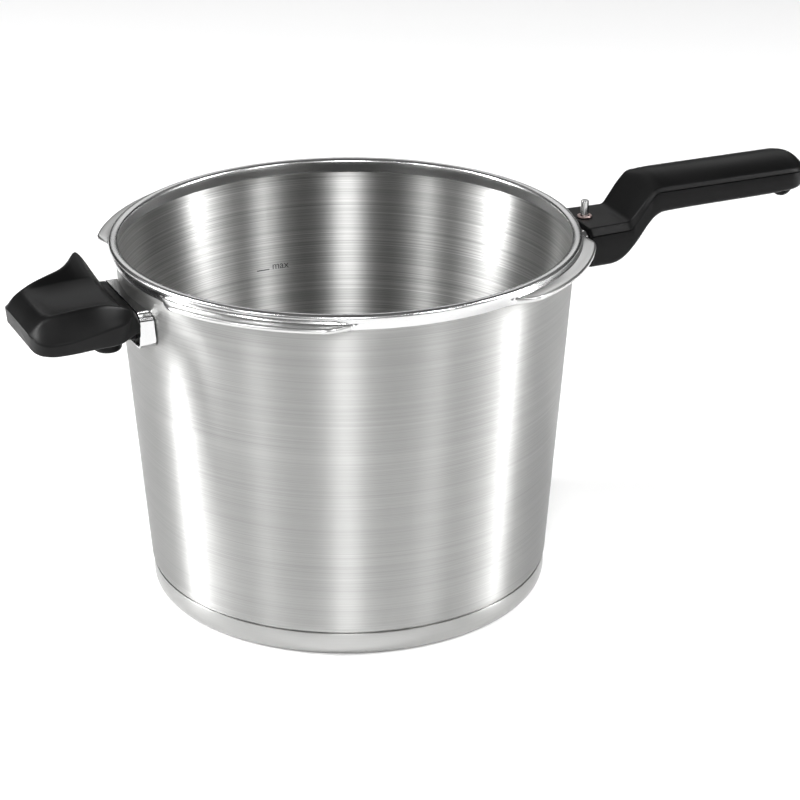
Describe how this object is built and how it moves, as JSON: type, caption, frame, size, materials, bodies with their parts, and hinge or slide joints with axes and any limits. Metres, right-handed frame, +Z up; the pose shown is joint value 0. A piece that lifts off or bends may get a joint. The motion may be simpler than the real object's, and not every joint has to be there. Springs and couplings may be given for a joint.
{
  "type": "stovetop pressure cooker pot",
  "caption": "Tapered steel pressure-cooker pot with bayonet rim lugs, thick base, long stepped handle with catch pin and wide helper grip; no lid.",
  "frame": {"origin": "centre of the flat base, on the surface the pot stands on", "axes": "+Z up along the pot axis, +X towards the long handle, helper grip on -X"},
  "size_m": [0.417, 0.2312, 0.19],
  "materials": {
    "pot": "stainless steel, brushed round the wall, polished rim",
    "capsule": "stainless steel, satin turned edge",
    "core": "plain aluminium, sealed inside the base",
    "grip_plastic": "fine matte black heat-proof plastic",
    "bracket": "plain stainless steel sheet",
    "guard": "polished stainless steel",
    "fastener": "plain stainless steel",
    "pin": "bright turned steel",
    "collar": "bright washer with a faint copper tint"
  },
  "bodies": {
    "root": {"pot_body": "pot", "base_capsule": "capsule", "base_core": "core", "handle_shell": "grip_plastic", "handle_cover": "grip_plastic", "handle_bracket": "bracket", "handle_nut": "fastener", "handle_washer": "fastener", "handle_screw": "fastener", "cover_screw_1": "fastener", "cover_screw_2": "fastener", "handle_flame_guard": "guard", "catch_pin": "pin", "catch_pin_collar": "collar", "side_grip": "grip_plastic", "side_bracket": "bracket", "side_nut": "fastener", "side_washer": "fastener", "side_screw": "fastener", "side_flame_guard": "guard"}
  },
  "joints": []
}
